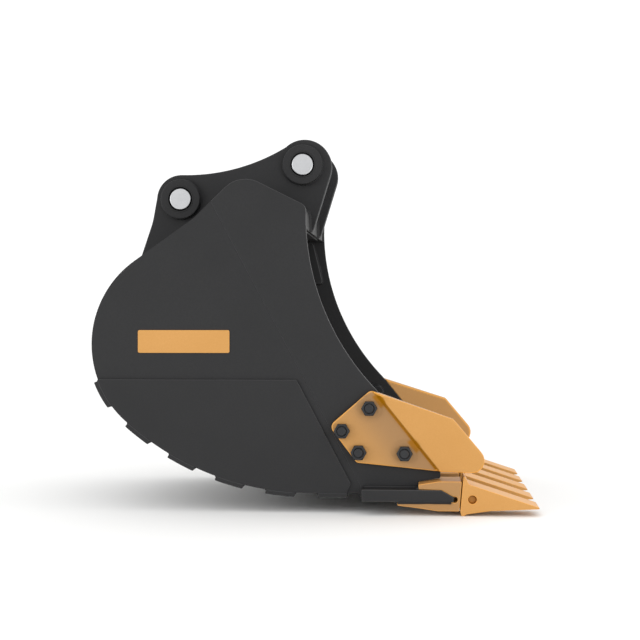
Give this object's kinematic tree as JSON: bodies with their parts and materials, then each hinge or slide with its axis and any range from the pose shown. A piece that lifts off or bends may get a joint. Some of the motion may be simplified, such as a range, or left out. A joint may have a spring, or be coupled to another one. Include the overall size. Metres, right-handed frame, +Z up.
{
  "type": "excavator bucket",
  "caption": "Digging bucket for a crawler excavator, with hinge ears and pins, rolled wrapper, lip, adapters with pinned teeth, wear strips and bolted side cutters.",
  "frame": {"origin": "middle of the stick pin, on the middle plane of the bucket", "axes": "+X out of the mouth along the teeth, parallel to the flat floor; +Y along the pins to the left side, seen from behind the bucket looking at its teeth; +Z up from the floor to the ears"},
  "size_m": [1.592, 1.1766, 1.361],
  "materials": {
    "black_paint": "satin black enamel",
    "orange_paint": "satin orange enamel",
    "ground_steel": "ground pin steel",
    "black_steel": "black oxide steel"
  },
  "bodies": {
    "bucket": {"shell_back": "black_paint", "shell_floor": "black_paint", "side_plate_left": "black_paint", "side_plate_right": "black_paint", "side_cheek_left": "black_paint", "side_cheek_right": "black_paint", "torque_box_plate": "black_paint", "ear_left": "black_paint", "ear_right": "black_paint", "stick_boss_left": "black_paint", "stick_boss_right": "black_paint", "link_boss_left": "black_paint", "link_boss_right": "black_paint", "stick_bush_left": "black_paint", "stick_bush_right": "black_paint", "link_bush_left": "black_paint", "link_bush_right": "black_paint", "keeper_blocks": "black_paint", "lip": "black_paint", "adapter_1": "orange_paint", "adapter_2": "orange_paint", "adapter_3": "orange_paint", "adapter_4": "orange_paint", "adapter_5": "orange_paint", "tooth_1": "orange_paint", "tooth_2": "orange_paint", "tooth_3": "orange_paint", "tooth_4": "orange_paint", "tooth_5": "orange_paint", "tooth_pin_retainers": "black_steel", "wear_strip_1": "black_paint", "wear_strip_2": "black_paint", "wear_strip_3": "black_paint", "wear_strip_4": "black_paint", "wear_strip_5": "black_paint", "wear_strip_6": "black_paint", "side_wear_plate_left": "black_paint", "side_wear_plate_right": "black_paint", "corner_doubler_left": "black_paint", "corner_doubler_right": "black_paint", "side_cutter_left": "orange_paint", "side_cutter_right": "orange_paint", "cutter_bolts_left": "black_steel", "cutter_bolts_right": "black_steel", "cutter_nuts_left": "black_steel", "cutter_nuts_right": "black_steel", "cutter_washers": "black_steel", "name_plate_left": "orange_paint", "name_plate_right": "orange_paint"},
    "stick_pin": {"stick_pin": "ground_steel", "stick_pin_keeper_bolt": "black_steel"},
    "link_pin": {"link_pin": "ground_steel", "link_pin_keeper_bolt": "black_steel"},
    "tooth_pin_1": {"tooth_pin_1": "orange_paint"},
    "tooth_pin_2": {"tooth_pin_2": "orange_paint"},
    "tooth_pin_3": {"tooth_pin_3": "orange_paint"},
    "tooth_pin_4": {"tooth_pin_4": "orange_paint"},
    "tooth_pin_5": {"tooth_pin_5": "orange_paint"}
  },
  "joints": [
    {"name": "stick_pin_withdraw", "type": "slide", "parent": "bucket", "child": "stick_pin", "axis": [0, 1, 0], "range_m": [0, 0.5]},
    {"name": "link_pin_withdraw", "type": "slide", "parent": "bucket", "child": "link_pin", "axis": [0, 1, 0], "range_m": [0, 0.5]},
    {"name": "tooth_pin_1_withdraw", "type": "slide", "parent": "bucket", "child": "tooth_pin_1", "axis": [0, -1, 0], "range_m": [0, 0.12]},
    {"name": "tooth_pin_2_withdraw", "type": "slide", "parent": "bucket", "child": "tooth_pin_2", "axis": [0, -1, 0], "range_m": [0, 0.12]},
    {"name": "tooth_pin_3_withdraw", "type": "slide", "parent": "bucket", "child": "tooth_pin_3", "axis": [0, -1, 0], "range_m": [0, 0.12]},
    {"name": "tooth_pin_4_withdraw", "type": "slide", "parent": "bucket", "child": "tooth_pin_4", "axis": [0, -1, 0], "range_m": [0, 0.12]},
    {"name": "tooth_pin_5_withdraw", "type": "slide", "parent": "bucket", "child": "tooth_pin_5", "axis": [0, -1, 0], "range_m": [0, 0.12]}
  ]
}
